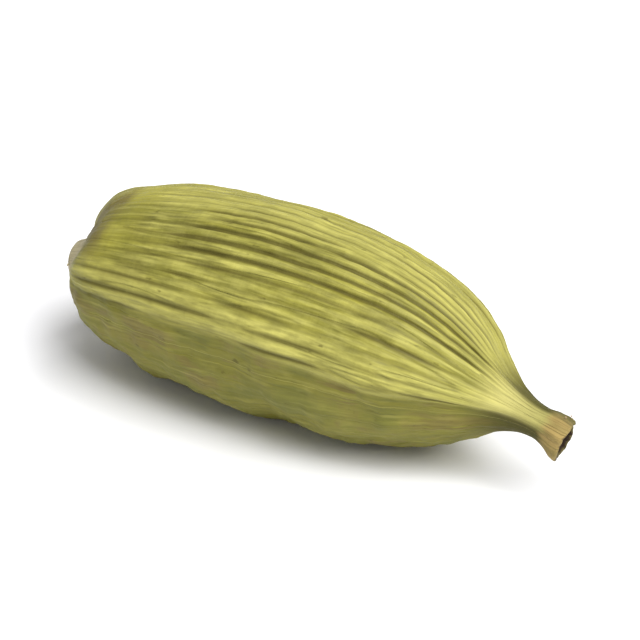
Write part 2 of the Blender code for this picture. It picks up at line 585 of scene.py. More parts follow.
@dataclass(frozen=True)
class DriedHusk:
    """Air-dried cardamom husk: a tough, fibrous plant skin, matt and a little papery.

    Its ribs dry pale and straw-coloured, its creases are olive darkened with painted shade, and the two torn
    ends are tan.
    Painted shade also darkens the face under the near ridge and the hollows, and a painted highlight lightens
    the top.
    """

    shade_green: str = "#73702E"
    rib_green: str = "#888336"
    rib_yellow: str = "#989233"
    rib_straw: str = "#B1AB5C"
    vein_olive_and_groove_shade: str = "#58531E"
    speck_olive_and_crease_shade: str = "#453E11"
    # Painted shade for the face under the near ridge
    flank_shade_green: str = "#6F6C2A"
    flank_moss: str = "#5E6024"
    blotch_brown: str = "#6E6132"
    neck_olive_and_shade: str = "#423E16"
    neck_straw_and_highlight: str = "#BCB46C"
    dimple_shade_brown: str = "#645834"
    collar_olive: str = "#6F6638"
    collar_tan: str = "#9C8650"
    cup_brown_and_shade: str = "#2D1E10"
    scar_cream: str = "#AFA584"
    roughness: float = 0.62
    roughness_stray: float = 0.08
    ior: float = 1.45
    specular: float = 0.24
    flank_lines: float = 0.40
    bump_height: float = 0.045 * MM

    def material(self, form: PodForm) -> bpy.types.Material:
        """Build the husk's material, which reads what the skin's tree stored on the mesh.

        Args:
            form: the pod's form, for the places of its ends.

        Returns:
            The material.
        """
        material, tree, shader = new_material("dried_cardamom_husk")
        maps = self._maps(tree)
        colour = self._husk_colour(tree, maps)
        colour = self._torn_ends(tree, maps, colour, form)
        tree.links.new(colour.outputs[2], shader.inputs["Base Color"])

        low, high = self.roughness - self.roughness_stray, self.roughness + self.roughness_stray
        rough = add_node(tree, MAP, (maps["fibres"], 0.3, 0.7, low, high))
        tree.links.new(rough.outputs[0], shader.inputs["Roughness"])
        # Each kind of relief, and how much of the bump's height it takes
        height: Link = 0.0
        for name, share in (("strands", 0.9), ("fibres", 0.45), ("wrinkles", 0.50), ("veins", -0.45)):
            height = add_node(tree, "MULTIPLY_ADD", (maps[name], share, height))
        bump = add_node(tree, "ShaderNodeBump", {"Distance": self.bump_height, "Height": height})
        tree.links.new(bump.outputs["Normal"], shader.inputs["Normal"])
        shader.inputs["IOR"].default_value = self.ior
        shader.inputs["Specular IOR Level"].default_value = self.specular
        return material

    def _maps(self, tree: bpy.types.NodeTree) -> dict[str, Link]:
        """Add all that the husk's colour and its bump follow.

        Args:
            tree: the material's tree.

        Returns:
            What the skin's tree stored on the mesh, the noises, and the patterns made of them, by name.
        """
        maps: dict[str, Link] = {}
        for name in ("grain", "crease", "rib", "ridge", "flank", "outline", "turn"):
            stored = add_node(tree, "ShaderNodeAttribute", attribute_name=name)
            maps[name] = stored.outputs["Vector" if name == "grain" else "Fac"]

        # Fibres run from end to end: bundles about 0.3 mm wide, strands in them, and single fibres as fine as
        # the render shows. Each noise: the length of a grain along the pod and its width round it, both in
        # millimetres, which pattern of its kind it is, and its detail
        noises = {
            "bundles": (5.0, 0.30, 1.3, 2.0),
            "strands": (2.2, 0.13, 7.5, 2.0),
            "fibres": (0.8, 0.08, 2.7, 2.0),
            "clouds": (2.2, 1.3, 4.1, 3.0),
            "patches": (5.0, 2.0, 6.6, 3.0),
            "wrinkles": (0.17, 0.45, 5.9, 2.0),
            "specks": (0.45, 0.16, 9.7, 2.0),
            "flecks": (0.75, 0.24, 4.6, 2.0),
            "blots": (1.7, 1.6, 12.3, 3.0),
        }
        for name, noise in noises.items():
            maps[name] = add_grain(tree, maps["grain"], *noise)
        veins = add_veins(tree, maps["grain"], 5.0, 0.45, 8.8, 0.045)

        # The face under the near ridge is smoother and blotched, with hardly a fibre to be seen. Pale bundles
        # run across its edge, so it starts in streaks
        streaks = add_node(tree, "MULTIPLY_ADD", (maps["bundles"], 1.5, -0.75))
        flank = add_node(tree, "ADD", (maps["flank"], streaks))
        flank = add_node(tree, MAP, (flank, 0.40, 1.00, 0.0, 1.0))
        lines = add_node(tree, MAP, (flank, 0.0, 1.0, 1.0, self.flank_lines))
        for name in ("bundles", "strands", "fibres", "flecks"):
            off = add_node(tree, "ADD", (maps[name], -0.5))
            maps[name] = add_node(tree, "MULTIPLY_ADD", (off, lines, 0.5))

        # Fibres along both sides of a crease make its dark colour, olive with painted shade, uneven
        torn = add_node(tree, "ADD", (maps["strands"], maps["fibres"]))
        torn = add_node(tree, "MULTIPLY_ADD", (torn, 1.3, -0.3))
        crest = add_node(tree, MAP, (maps["rib"], 0.30, 0.90, 0.0, 1.0))
        # Groove marks the bottom of each crease between the ribs, where painted shade darkens the colour
        groove = add_node(tree, MAP, (maps["rib"], 0.45, 0.05, 0.0, 1.0))
        unblotted = add_node(tree, "SUBTRACT", (1.0, maps["blots"]))
        # Each pattern is where all of these meet
        patterns = {
            "veins": (veins, lines),
            "crease": (maps["crease"], torn),
            "crest": (crest, maps["bundles"], lines),
            "groove": (groove, maps["clouds"], lines),
            "blotched": (maps["blots"], flank),
            "mossy": (unblotted, flank),
        }
        for name, (pattern, *others) in patterns.items():
            for other in others:
                pattern = add_node(tree, "MULTIPLY", (pattern, other))
            maps[name] = pattern
        maps["flank"] = flank
        # Painted highlight: the top of the pod, round 112 degrees, is lightened towards straw
        maps["painted_top_highlight"] = add_side(tree, maps["turn"], math.radians(112.0), 0.80, 1.0)
        return maps

    def _husk_colour(self, tree: bpy.types.NodeTree, maps: Mapping[str, Link]) -> bpy.types.Node:
        """Lay the husk's colours over each other, from its ground green to its creases, darkened with painted
        shade.

        Args:
            tree: the material's tree.
            maps: what the colours follow, by name.

        Returns:
            The node that gives the colour.
        """
        # Each layer: what it follows, the values of that at which it starts and is full, how much of what is
        # under it it covers there, and its colour
        layers = (
            ("clouds", 0.38, 0.62, 1.00, self.rib_green),
            ("patches", 0.50, 0.66, 0.35, self.rib_yellow),
            # Painted shade: the face under the near ridge, which faces down towards the floor, is darkened
            ("flank", 0.0, 1.0, 0.80, self.flank_shade_green),
            ("blotched", 0.50, 0.58, 0.75, self.blotch_brown),
            ("mossy", 0.48, 0.62, 0.75, self.flank_moss),
            ("bundles", 0.46, 0.70, 0.34, self.rib_straw),
            ("crest", 0.30, 0.62, 0.40, self.rib_straw),
            ("ridge", 0.0, 1.0, 0.45, self.rib_straw),
            ("strands", 0.52, 0.64, 0.40, self.rib_straw),
            ("strands", 0.46, 0.34, 0.22, self.vein_olive_and_groove_shade),
            ("flecks", 0.52, 0.66, 0.26, self.rib_straw),
            ("flecks", 0.46, 0.34, 0.22, self.vein_olive_and_groove_shade),
            ("patches", 0.38, 0.30, 0.28, self.blotch_brown),
            # Painted shade in the grooves between the ribs
            ("groove", 0.0, 1.0, 0.40, self.vein_olive_and_groove_shade),
            ("veins", 0.0, 1.0, 0.28, self.vein_olive_and_groove_shade),
            # Painted highlight on the top of the pod
            ("painted_top_highlight", 0.0, 1.0, 0.50, self.rib_straw),
            ("specks", 0.66, 0.74, 0.55, self.speck_olive_and_crease_shade),
            # Painted shade deepens the creases, over their own olive
            ("crease", 0.12, 0.62, 0.70, self.speck_olive_and_crease_shade),
        )
        colour: Link = linear(self.shade_green)
        for name, start, full, most, layer in layers:
            cover = add_node(tree, MAP, (maps[name], start, full, 0.0, most))
            colour = add_node(tree, MIX, (cover, colour, linear(layer)), data_type="RGBA")
        # Each fibre is a little darker or lighter than the next
        return add_shade(tree, colour, maps["fibres"], 0.76, 1.20)

    def _torn_ends(
        self, tree: bpy.types.NodeTree, maps: Mapping[str, Link], colour: Link, form: PodForm
    ) -> bpy.types.Node:
        """Lay the colours of the scar, the neck and the collar over the husk's two ends.

        Args:
            tree: the material's tree.
            maps: what the colours follow, by name.
            colour: the husk's colour so far.
            form: the pod's form, for where each end's parts lie on the outline.

        Returns:
            The node that gives the colour.
        """
        uneven = add_node(tree, MAP, (maps["clouds"], 0.3, 0.7, -0.006, 0.006))
        outline = add_node(tree, "ADD", (maps["outline"], uneven))
        # The dimple between the two upper lobes is yellow at its edge and brown inside, the brown being
        # painted shade in the hollow.
        # The neck is pale along the crest that the near ridge runs on into, partly a painted highlight, and
        # dark under it, partly painted shade, and the collar is tan in front
        dimple, crest, front = (
            add_side(tree, maps["turn"], math.radians(middle), none, full)
            for middle, none, full in ((75.0, 0.62, 1.0), (50.0, 0.70, 0.97), (25.0, 0.05, 0.72))
        )
        mottled = add_node(tree, MAP, (maps["clouds"], 0.40, 0.60, 0.45, 1.0))
        dimple, front = (add_node(tree, "MULTIPLY", (side, mottled)) for side in (dimple, front))
        neck, collar = (
            add_node(tree, MIX, (share, linear(shaded), linear(pale)), data_type="RGBA")
            for share, shaded, pale in (
                (crest, self.neck_olive_and_shade, self.neck_straw_and_highlight),
                (front, self.collar_olive, self.collar_tan),
            )
        )
        # Each layer: the knots of the half outline where it starts and where it is full, how much of what is
        # under it it covers there, and its colour
        layers = (
            (9.7, 9.2, add_node(tree, "MULTIPLY", (dimple, 0.50)), linear(self.rib_yellow)),
            # Painted shade in the dimple's hollow, in brown
            (9.05, 8.6, add_node(tree, "MULTIPLY", (dimple, 0.85)), linear(self.dimple_shade_brown)),
            (6.0, 5.0, 1.0, linear(self.scar_cream)),
            # The scar's pit, brown and deepened with painted shade
            (3.0, 2.0, 1.0, linear(self.cup_brown_and_shade)),
            # The neck's pale crest is partly a painted highlight, and its dark underside and base partly
            # painted shade
            (15.5, 17.2, 0.85, neck),
            (16.4, 17.6, 0.22, linear(self.neck_olive_and_shade)),
            (-6.6, -5.8, 1.0, collar),
            # The collar's cup, brown and deepened with painted shade
            (-4.2, -3.4, 1.0, linear(self.cup_brown_and_shade)),
        )
        for start, full, share, layer in layers:
            cover = add_fade(tree, outline, form.outline_share(start), form.outline_share(full))
            cover = add_node(tree, "MULTIPLY", (cover, share))
            colour = add_node(tree, MIX, (cover, colour, layer), data_type="RGBA")
        return colour


@dataclass(frozen=True)
class DryFibre:
    """Torn plant fibre, dried to straw: thin, pale and quite matt, browner here and there."""

    pale: str
    brown: str
    patch_size: float = 0.3 * MM
    roughness: float = 0.8
    specular: float = 0.3

    def material(self, name: str) -> bpy.types.Material:
        """Build the fibre's material.

        Args:
            name: the material's name.

        Returns:
            The material.
        """
        material, tree, shader = new_material(name)
        browner = add_node(tree, MAP, (add_patches(tree, self.patch_size, 2.0), 0.4, 0.65, 0.0, 1.0))
        colour = add_node(tree, MIX, (browner, linear(self.pale), linear(self.brown)), data_type="RGBA")
        tree.links.new(colour.outputs[2], shader.inputs["Base Color"])
        shader.inputs["Roughness"].default_value = self.roughness
        shader.inputs["Specular IOR Level"].default_value = self.specular
        return material


@dataclass(frozen=True)
class Crease:
    """One deep crease between two ribs: its number round the pod, where it starts and ends, and its depth.

    The start and the end are shares of the pod's length, and the depth is a share of the deepest one.
    """

    number: int
    start: float
    end: float
    depth: float


@dataclass
class Husk:
    """The husk's skin, from the scar's pit to the collar's cup, as one closed mesh.

    Waves are (waves along the pod, waves round it, phase, share), and they, the corners and the seeds are
    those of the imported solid. Ribs at the photograph's pitch, fibres and wrinkles add what it is too coarse
    for. Fields named turn are angles round the pod: how far the ribs and the ridges are turned from where
    they would be, and where the others have their middle.
    """

    form: PodForm
    bend: bpy.types.NodeTree
    finish: DriedHusk
    rows: int = 274
    points_per_rib: int = 8
    end_rows: float = 0.55
    ribs: int = 45
    crease_depth: float = 0.125 * MM
    crease_sharpness: float = 2.3
    split_depth: float = 0.06 * MM
    rib_turn: float = math.radians(-2.0)
    rib_askew: float = math.radians(17.0)
    askew_start: float = 0.30
    askew_edges: tuple[float, ...] = tuple(math.radians(edge) for edge in (28.0, 58.0, 150.0, 250.0))
    rib_jitter: float = math.radians(2.0)
    corner_stray: float = math.radians(4.5)
    mean_strength: float = 0.62
    set_out_turn: float = math.radians(27.0)
    calm_share: float = 0.34
    flank_calm: float = 0.12
    stalk_calm: float = 0.25
    stalk_calm_end: float = 0.30
    crease_taper: float = 0.07
    corners: int = 3
    corner_angle: float = math.radians(15.0)
    corner_share: float = 0.042
    corner_sharpness: float = 0.30
    lobe_share: float = 0.080
    ridge_height: float = 0.17 * MM
    ridge_turn: float = math.radians(7.0)
    hollow_depth: float = 0.17 * MM
    hollow_turn: float = math.radians(1.0)
    flank_turn: float = math.radians(-42.0)
    dimple_depth: float = 0.60 * MM
    dimple_end: float = 0.13
    dimple_turn: float = math.radians(78.0)
    blunt_depth: float = 0.50 * MM
    blunt_end: float = 0.10
    blunt_turn: float = math.radians(8.0)
    upper_trim: float = 0.24 * MM
    upper_turn: float = math.radians(120.0)
    seed_bump: float = 0.09 * MM
    upper_seed_share: float = 0.30
    plain_radius: float = 0.72 * MM
    full_radius: float = 2.00 * MM
    crease_end_radius: float = 0.50 * MM
    crease_full_radius: float = 1.30 * MM
    fibre_height: float = 0.085 * MM
    wrinkle_height: float = 0.085 * MM
    flank_wrinkle: float = 0.60 * MM
    flank_dent: float = 0.34 * MM
    rim_raggedness: float = 0.12 * MM
    lip_reach: float = 0.14 * MM
    lip_angle: float = math.radians(-70.0)
    rim_slant: float = 0.20 * MM
    slant_angle: float = math.radians(36.0)
    grain_radius: float = 3.0 * MM
    seed: float = 3.0
    weld: float = 0.0002 * MM
    stray_waves: tuple[Wave, ...] = ((0.9, 2, 0.7, 0.70), (2.3, -5, 2.1, 0.30))
    strength_waves: tuple[Wave, ...] = ((0.0, 1, 0.26, 0.16), (1.1, 4, 1.3, 0.12), (1.7, -13, 0.4, 0.10))
    seed_waves: tuple[Wave, ...] = ((5.3, -2, 4.87, 0.30), (5.3, 2, 2.73, 0.30), (3.7, 3, 2.0, 0.40))
    deep_creases: tuple[Crease, ...] = (
        Crease(2, 0.06, 0.27, 0.45),
        Crease(2, 0.42, 0.63, 0.70),
        Crease(2, 0.72, 0.88, 0.75),
        Crease(3, 0.06, 0.42, 0.70),
        Crease(3, 0.43, 0.64, 0.50),
        Crease(4, 0.06, 0.33, 0.45),
        Crease(4, 0.36, 0.54, 0.40),
        Crease(5, 0.24, 0.37, 0.50),
        Crease(5, 0.60, 0.80, 0.50),
        Crease(6, 0.28, 0.82, 0.22),
        Crease(7, 0.24, 0.86, 1.00),
        Crease(8, 0.23, 0.84, 0.70),
        Crease(9, 0.25, 0.88, 0.90),
        Crease(10, 0.28, 0.53, 0.70),
        Crease(10, 0.50, 0.84, 0.80),
        Crease(11, 0.25, 0.56, 0.55),
        Crease(11, 0.60, 0.84, 0.45),
        Crease(12, 0.30, 0.86, 0.40),
        Crease(13, 0.14, 0.46, 0.30),
        Crease(13, 0.56, 0.92, 0.40),
        Crease(14, 0.36, 0.84, 0.35),
    )

    def sizes(self) -> dict[str, Any]:
        """Collect the named inputs of the skin's tree.

        Returns:
            The value of each.
        """
        names = """
            rows ribs rib_turn rib_askew rib_jitter corner_stray crease_depth crease_sharpness split_depth
            corner_share lobe_share ridge_height hollow_depth upper_trim seed_bump dimple_depth blunt_depth
            fibre_height wrinkle_height flank_wrinkle flank_dent rim_raggedness lip_reach rim_slant seed
        """
        columns = self.ribs * self.points_per_rib + 1
        finish = self.finish.material(self.form)
        made = {"Columns": columns, "Finish": finish}
        return {**named_inputs(self, names), **self.form.axis_sizes(), **made}

    def skin(self) -> bpy.types.Mesh:
        """Grow the skin.

        Returns:
            The skin as a plain mesh, not yet in its seat.
        """
        skin = GeometryTree("husk_skin", self.sizes())
        given = skin.given
        grid = skin.add("GeometryNodeMeshGrid", (1.0, 1.0, given["Rows"], given["Columns"]))
        spread = skin.add("ShaderNodeSeparateXYZ", (grid.outputs["UV Map"],))
        row, column = spread.outputs["X"], spread.outputs["Y"]

        # Rows lie closer together at both ends, for the scar and the collar
        swing = skin.add("MULTIPLY", (row, math.tau))
        swing = skin.add("SINE", (swing,))
        outline = skin.add("MULTIPLY_ADD", (swing, -self.end_rows / math.tau, row))
        curve = {"Curves": given["Geometry"], "Factor": outline}
        knot = skin.add("GeometryNodeSampleCurve", curve, mode="FACTOR")
        point = skin.add("ShaderNodeSeparateXYZ", (knot.outputs["Position"],))
        distance, radius = point.outputs["X"], point.outputs["Y"]

        along = skin.add("DIVIDE", (distance, given["Pod Length"]))
        even_angle = skin.add("MULTIPLY", (column, math.tau))
        grain = self._grain(skin, distance, even_angle)
        angle = self._rib_angle(skin, grain, along, even_angle)
        here = skin.add("ShaderNodeCombineXYZ", (along, angle, 1.0))
        stray = add_waves(skin.tree, self.stray_waves, here)
        stray = skin.add("MULTIPLY", (stray, given["Corner Stray"]))
        solid_angle = skin.add("SUBTRACT", (angle, stray))
        place = skin.add("ShaderNodeCombineXYZ", (along, solid_angle, 1.0))

        flank = add_side(skin.tree, solid_angle, self.flank_turn, 0.50, 0.64)
        crease = self._crease(skin, place, grain, column, radius, flank)
        skin_radius = radius
        for change, height in (
            ("ADD", self._corners_and_seeds(skin, place, along, solid_angle, radius)),
            ("SUBTRACT", skin.add("MULTIPLY", (crease, given["Crease Depth"]))),
            ("SUBTRACT", self._split(skin, grain, column, radius, flank)),
            ("ADD", self._relief(skin, grain, flank, radius)),
        ):
            skin_radius = skin.add(change, (skin_radius, height))
        skin_distance = skin.add("SUBTRACT", (distance, self._torn_rim(skin, grain, along)))
        dimple = self._dimple(skin, along, solid_angle, radius)
        skin_distance = skin.add("ADD", (skin_distance, dimple))
        lip = self._rim_side(skin, along, angle, self.lip_angle)
        skin_radius = skin.add("MULTIPLY_ADD", (lip, given["Lip Reach"], skin_radius))
        slant = self._rim_side(skin, along, angle, self.slant_angle)
        skin_distance = skin.add("MULTIPLY_ADD", (slant, given["Rim Slant"], skin_distance))

        mesh = grid.outputs["Mesh"]
        stored = {
            "grain": grain,
            "crease": crease,
            "rib": self._rib_place(skin, column),
            "ridge": self._ridge(skin, solid_angle),
            "flank": flank,
            "outline": outline,
            "turn": angle,
        }
        for name, value in stored.items():
            kind = "FLOAT_VECTOR" if name == "grain" else "FLOAT"
            mark = {"Geometry": mesh, "Name": name, "Value": value}
            mesh = skin.add("GeometryNodeStoreNamedAttribute", mark, data_type=kind)
        straight = skin.round_the_axis(skin_distance, angle, skin_radius)
        mesh = skin.add("GeometryNodeSetPosition", {"Geometry": mesh, "Position": straight})
        mesh = skin.add("GeometryNodeMergeByDistance", {"Geometry": mesh, "Distance": self.weld})
        skin.close_piece(mesh, self.form, self.bend)
        return skin.mesh_from(self.form.outline_curve())

    def _grain(self, skin: GeometryTree, distance: Link, angle: Link) -> bpy.types.Node:
        """The place on the skin in millimetres, as if the pod were equally thick from end to end."""
        even = skin.round_the_axis(distance, angle, self.grain_radius)
        return skin.add(VECTOR, (even, 1.0 / MM), operation="SCALE")

    def _rib_angle(self, skin: GeometryTree, grain: Link, along: Link, even_angle: Link) -> bpy.types.Node:
        """The angle to which a point goes so that its rib runs as the real one does.

        Ribs keep the same number of degrees between them, but on the upper face they run a little askew, and
        each wanders a little from end to end.

        Args:
            skin: the skin's tree.
            grain: the place on the skin, in millimetres.
            along: the share of the pod's length.
            even_angle: the angle that the point would have on an even pod, from 0 to a full turn.

        Returns:
            The node that gives the angle.
        """
        given = skin.given
        near_none, near_full, far_full, far_none = self.askew_edges
        near = add_fade(skin.tree, even_angle, near_none, near_full)
        far = add_fade(skin.tree, even_angle, far_none, far_full)
        face = skin.add("MULTIPLY", (near, far))
        past = skin.add("SUBTRACT", (along, self.askew_start))
        askew = skin.add("MULTIPLY", (past, given["Rib Askew"]))
        angle = skin.add("MULTIPLY_ADD", (askew, face, even_angle))
        angle = skin.add("ADD", (angle, given["Rib Turn"]))
        wander = add_grain(skin.tree, grain, 14.0, 1.6, given["Seed"])
        wander = skin.add("SUBTRACT", (wander, 0.5))
        return skin.add("MULTIPLY_ADD", (wander, given["Rib Jitter"], angle))

    def _corner_wave(self, skin: GeometryTree, angle: Link) -> bpy.types.Node:
        """1 at each corner of the seed chambers and -1 midway between them."""
        turn = skin.add("MULTIPLY_ADD", (angle, float(self.corners), -self.corners * self.corner_angle))
        return skin.add("COSINE", (turn,))

    def _ridge(self, skin: GeometryTree, angle: Link) -> bpy.types.Node:
        """1 along the crest beside each corner, and 0 away from it."""
        wave = self._corner_wave(skin, skin.add("SUBTRACT", (angle, self.ridge_turn)))
        return add_fade(skin.tree, wave, 0.80, 1.0)

    def _dimple(self, skin: GeometryTree, along: Link, angle: Link, radius: Link) -> bpy.types.Node:
        """How far the skin lies back from the stalk end, between the upper lobes and on the near one.

        Args:
            skin: the skin's tree.
            along: the share of the pod's length.
            angle: the angle round the pod.
            radius: the outline's radius there.

        Returns:
            The node that gives the distance, in metres.
        """
        given = skin.given
        depth: Link = 0.0
        for side, end, deepest in (
            (self.dimple_turn, self.dimple_end, given["Dimple Depth"]),
            (self.blunt_turn, self.blunt_end, given["Blunt Depth"]),
        ):
            facing = add_side(skin.tree, angle, side, 0.50, 1.0)
            near = add_fade(skin.tree, along, end, 0.0)
            share = skin.add("MULTIPLY", (facing, near))
            depth = skin.add("MULTIPLY_ADD", (share, deepest, depth))
        away = add_fade(skin.tree, radius, self.form.scar_radius, 2.0 * self.form.scar_radius)
        return skin.add("MULTIPLY", (depth, away))

    def _corners_and_seeds(
        self, skin: GeometryTree, place: Link, along: Link, angle: Link, radius: Link
    ) -> bpy.types.Node:
        """How far the corners and the seeds push the skin out.

        Args:
            skin: the skin's tree.
            place: the share of the length, the angle, and 1.
            along: the share of the pod's length.
            angle: the angle round the pod.
            radius: the outline's radius there.

        Returns:
            The node that gives the height, in metres.
        """
        given = skin.given
        near_stalk = skin.add(MAP, (along, given["Axis Crest"], 0.0, 0.0, 1.0))
        near_stalk = skin.add("MULTIPLY", (near_stalk, near_stalk))
        share = skin.add("MULTIPLY_ADD", (near_stalk, given["Lobe Share"], given["Corner Share"]))
        corner = skin.add("MULTIPLY", (share, radius))
        # The wave twice as fast, added to the near corner's own, makes it sharper and its faces flatter
        wave = self._corner_wave(skin, angle)
        twice = skin.add("MULTIPLY", (wave, wave))
        twice = skin.add("MULTIPLY_ADD", (twice, 2.0, -1.0))
        near = add_side(skin.tree, angle, self.corner_angle, 0.50, 0.90)
        past_end = add_fade(skin.tree, along, 0.03, 0.14)
        near = skin.add("MULTIPLY", (near, past_end))
        near = skin.add("MULTIPLY", (near, self.corner_sharpness))
        wave = skin.add("MULTIPLY_ADD", (twice, near, wave))
        corner = skin.add("MULTIPLY", (corner, wave))
        seeds = add_waves(skin.tree, self.seed_waves, place)
        # The seeds show through most on the lower side, and the upper outline is smooth
        sine = skin.add("SINE", (angle,))
        showing = skin.add(MAP, (sine, 0.2, 0.8, 1.0, self.upper_seed_share))
        seeds = skin.add("MULTIPLY", (seeds, showing))
        height = skin.add("MULTIPLY_ADD", (seeds, given["Seed Bump"], corner))
        fade = add_fade(skin.tree, radius, self.plain_radius, self.full_radius)
        height = skin.add("MULTIPLY", (height, fade))
        # The ridge along each corner runs on into the neck. Under the near one the skin has sunk in between
        # the seeds, and the upper back corner is a little flatter than the solid's
        fade = add_fade(skin.tree, radius, self.crease_end_radius, self.crease_full_radius)
        fade = skin.add("MULTIPLY", (fade, past_end))
        hollow = add_side(skin.tree, angle, self.hollow_turn, 0.95, 1.0)
        upper = add_side(skin.tree, angle, self.upper_turn, 0.70, 1.0)
        for share, reach in (
            (self._ridge(skin, angle), given["Ridge Height"]),
            (hollow, skin.add("SUBTRACT", (0.0, given["Hollow Depth"]))),
            (upper, skin.add("SUBTRACT", (0.0, given["Upper Trim"]))),
        ):
            share = skin.add("MULTIPLY", (share, fade))
            height = skin.add("MULTIPLY_ADD", (share, reach, height))
        return height

    def _rib_place(self, skin: GeometryTree, column: Link) -> bpy.types.Node:
        """Where a point lies between the creases.

        Args:
            skin: the skin's tree.
            column: the share of a turn round the pod.

        Returns:
            The node that gives 0 in the middle of a crease, and 1 on the back of a rib.
        """
        turns = skin.add("MULTIPLY", (column, skin.given["Ribs"]))
        off = skin.add("PINGPONG", (turns, 0.5))
        return skin.add("MULTIPLY", (off, 2.0))

    def _crease(
        self, skin: GeometryTree, place: Link, grain: Link, column: Link, radius: Link, flank: Link
    ) -> bpy.types.Node:
        """How deep the crease between two ribs is, from 0 to about 1.

        Args:
            skin: the skin's tree.
            place: the share of the length, the angle, and 1.
            grain: the place on the skin, in millimetres.
            column: the share of a turn round the pod.
            radius: the outline's radius there.
            flank: 1 on the face under the near ridge, whose creases are shallow.

        Returns:
            The node that gives the share.
        """
        given = skin.given
        near = skin.add("SUBTRACT", (1.0, self._rib_place(skin, column)))
        groove = skin.add("POWER", (near, given["Crease Sharpness"]))
        strength = add_waves(skin.tree, self.strength_waves, place)
        strength = skin.add("ADD", (strength, self.mean_strength))
        # Creases start and stop: each keeps its depth for about 8 mm, whatever its neighbours do
        runs = add_grain(skin.tree, grain, 8.0, 0.50, given["Seed"])
        # The faces that the deep creases are set out on have only faint ones besides
        turn = skin.add("MULTIPLY_ADD", (column, math.tau, -self.set_out_turn))
        facing = skin.add("COSINE", (turn,))
        along = skin.add("ShaderNodeSeparateXYZ", (place,)).outputs["X"]
        # Each cause of a change in strength, two values of it, and what the strength is multiplied by there
        for change in (
            (runs, 0.36, 0.64, 0.20, 1.50),
            (facing, -0.35, 0.10, 1.0, self.calm_share),
            (flank, 0.0, 1.0, 1.0, self.flank_calm),
            (along, 0.04, self.stalk_calm_end, self.stalk_calm, 1.0),
        ):
            strength = skin.add("MULTIPLY", (strength, skin.add(MAP, change)))
        strength = self._deepened(skin, column, along, strength)
        depth = skin.add("MULTIPLY", (groove, strength))
        fade = add_fade(skin.tree, radius, self.crease_end_radius, self.crease_full_radius)
        thick = skin.add("DIVIDE", (radius, self.full_radius))
        thick = skin.add("MINIMUM", (thick, 1.0))
        fade = skin.add("MULTIPLY", (fade, thick))
        return skin.add("MULTIPLY", (depth, fade))

    def _deepened(self, skin: GeometryTree, column: Link, along: Link, strength: Link) -> bpy.types.Node:
        """Add the deep creases that are set out to how strongly each crease is cut.

        Args:
            skin: the skin's tree.
            column: the share of a turn round the pod.
            along: the share of the pod's length.
            strength: the strength so far.

        Returns:
            The node that gives the new strength.
        """
        turns = skin.add("MULTIPLY", (column, skin.given["Ribs"]))
        number = skin.add("ROUND", (turns,))
        for crease in self.deep_creases:
            here = skin.add("COMPARE", (number, float(crease.number), 0.5))
            begun = add_fade(skin.tree, along, crease.start, crease.start + self.crease_taper)
            going = add_fade(skin.tree, along, crease.end, crease.end - self.crease_taper)
            there = skin.add("MULTIPLY", (begun, going))
            share = skin.add("MULTIPLY", (here, there))
            strength = skin.add("MULTIPLY_ADD", (share, crease.depth, strength))
        return strength

    def _split(
        self, skin: GeometryTree, grain: Link, column: Link, radius: Link, flank: Link
    ) -> bpy.types.Node:
        """How deep a rib's back is split by a finer crease, which only some ribs have.

        Args:
            skin: the skin's tree.
            grain: the place on the skin, in millimetres.
            column: the share of a turn round the pod.
            radius: the outline's radius there.
            flank: 1 on the face under the near ridge, which has no such crease.

        Returns:
            The node that gives the depth, in metres.
        """
        depth = skin.add("POWER", (self._rib_place(skin, column), 7.0))
        runs = add_grain(skin.tree, grain, 6.0, 0.62, 8.5)
        runs = skin.add(MAP, (runs, 0.46, 0.60, 0.0, 1.0))
        elsewhere = skin.add("SUBTRACT", (1.0, flank))
        fade = add_fade(skin.tree, radius, self.crease_end_radius, self.full_radius)
        for share in (runs, elsewhere, fade, skin.given["Split Depth"]):
            depth = skin.add("MULTIPLY", (depth, share))
        return depth

    def _relief(self, skin: GeometryTree, grain: Link, flank: Link, radius: Link) -> bpy.types.Node:
        """The height of the fibre bundles and of the wrinkles across them, in metres.

        Args:
            skin: the skin's tree.
            grain: the place on the skin, in millimetres.
            flank: 1 on the face that has the deepest wrinkles, and 0 on the others.
            radius: the outline's radius there.

        Returns:
            The node that gives the height.
        """
        given = skin.given
        deep = skin.add("MULTIPLY_ADD", (flank, 0.85, 0.15))
        smooth = skin.add("MULTIPLY_ADD", (flank, -0.75, 1.0))
        # Each kind: its length along the pod and round it in millimetres, its height, and the share of that
        # which it reaches here
        kinds = (
            (3.0, 0.30, given["Fibre Height"], smooth),
            (0.42, 0.9, given["Wrinkle Height"], 1.0),
            (1.8, 3.2, given["Flank Wrinkle"], deep),
            (0.8, 0.8, given["Flank Dent"], flank),
        )
        height: Link = 0.0
        for number, (along_mm, round_mm, reach, share) in enumerate(kinds):
            noise = add_grain(skin.tree, grain, along_mm, round_mm, 3.0 + 7.0 * number)
            noise = skin.add("SUBTRACT", (noise, 0.5))
            noise = skin.add("MULTIPLY", (noise, share))
            height = skin.add("MULTIPLY_ADD", (noise, reach, height))
        fade = add_fade(skin.tree, radius, 0.2 * MM, self.full_radius)
        return skin.add("MULTIPLY", (height, fade))

    def _rim(self, skin: GeometryTree, along: Link) -> bpy.types.Node:
        """0 up to the collar's neck, and 1 at its rim."""
        return add_fade(skin.tree, along, 1.0 - self.form.collar_width / self.form.length, 1.0)

